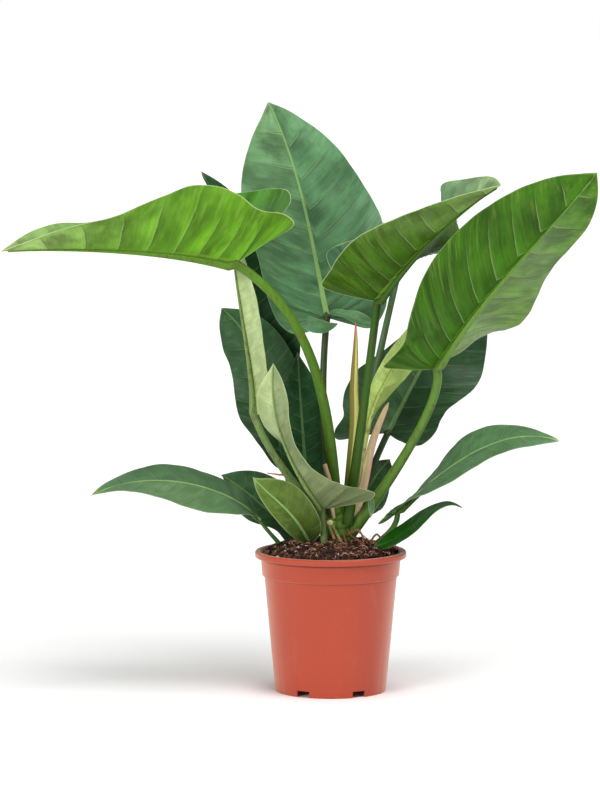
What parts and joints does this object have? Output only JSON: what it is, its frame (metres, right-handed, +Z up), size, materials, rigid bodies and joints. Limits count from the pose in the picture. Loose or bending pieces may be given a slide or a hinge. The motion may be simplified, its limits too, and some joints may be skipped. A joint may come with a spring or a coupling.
{
  "type": "potted philodendron",
  "caption": "Potted philodendron: a short ringed stem with large heart-shaped waved leaves on long stalks, in a tapered plastic nursery pot of potting mix.",
  "frame": {"origin": "centre of the pot underside, on the surface it stands on", "axes": "+Z up; the front of the plant faces -Y; +X is the right-hand side seen from the front"},
  "size_m": [0.8089, 0.5911, 0.8141],
  "materials": {
    "pot": "smooth moulded plastic, soft sheen",
    "soil": "moist peat potting mix, matt",
    "stem": "waxy, ringed",
    "green_leaf": "waxy leaf, soft gloss",
    "pale_leaf": "waxy leaf, pale underside",
    "dark_leaf": "waxy leaf in shade",
    "blue_leaf": "waxy leaf, bluish bloom",
    "spike": "waxy",
    "sheath": "papery, dry",
    "root": "dry and rough"
  },
  "bodies": {
    "root": {"pot": "pot", "soil": "soil", "stem": "stem", "leaf_back_tall": "blue_leaf", "leaf_left_level": "green_leaf", "leaf_centre_out": "green_leaf", "leaf_right_big": "green_leaf", "leaf_back_level": "blue_leaf", "leaf_right_back": "dark_leaf", "leaf_young_right": "pale_leaf", "leaf_left_back": "dark_leaf", "leaf_left_far": "dark_leaf", "leaf_left_inner": "dark_leaf", "leaf_left_narrow": "pale_leaf", "leaf_front_pale": "pale_leaf", "leaf_low_left_long": "blue_leaf", "leaf_low_left_round": "dark_leaf", "leaf_low_left_front": "green_leaf", "leaf_low_right_long": "blue_leaf", "leaf_low_right_short": "green_leaf", "leaf_low_right_back": "dark_leaf", "spike": "spike", "sheath_long": "sheath", "sheath_short": "sheath", "root_front": "root", "root_right": "root", "twig": "root"}
  },
  "joints": []
}
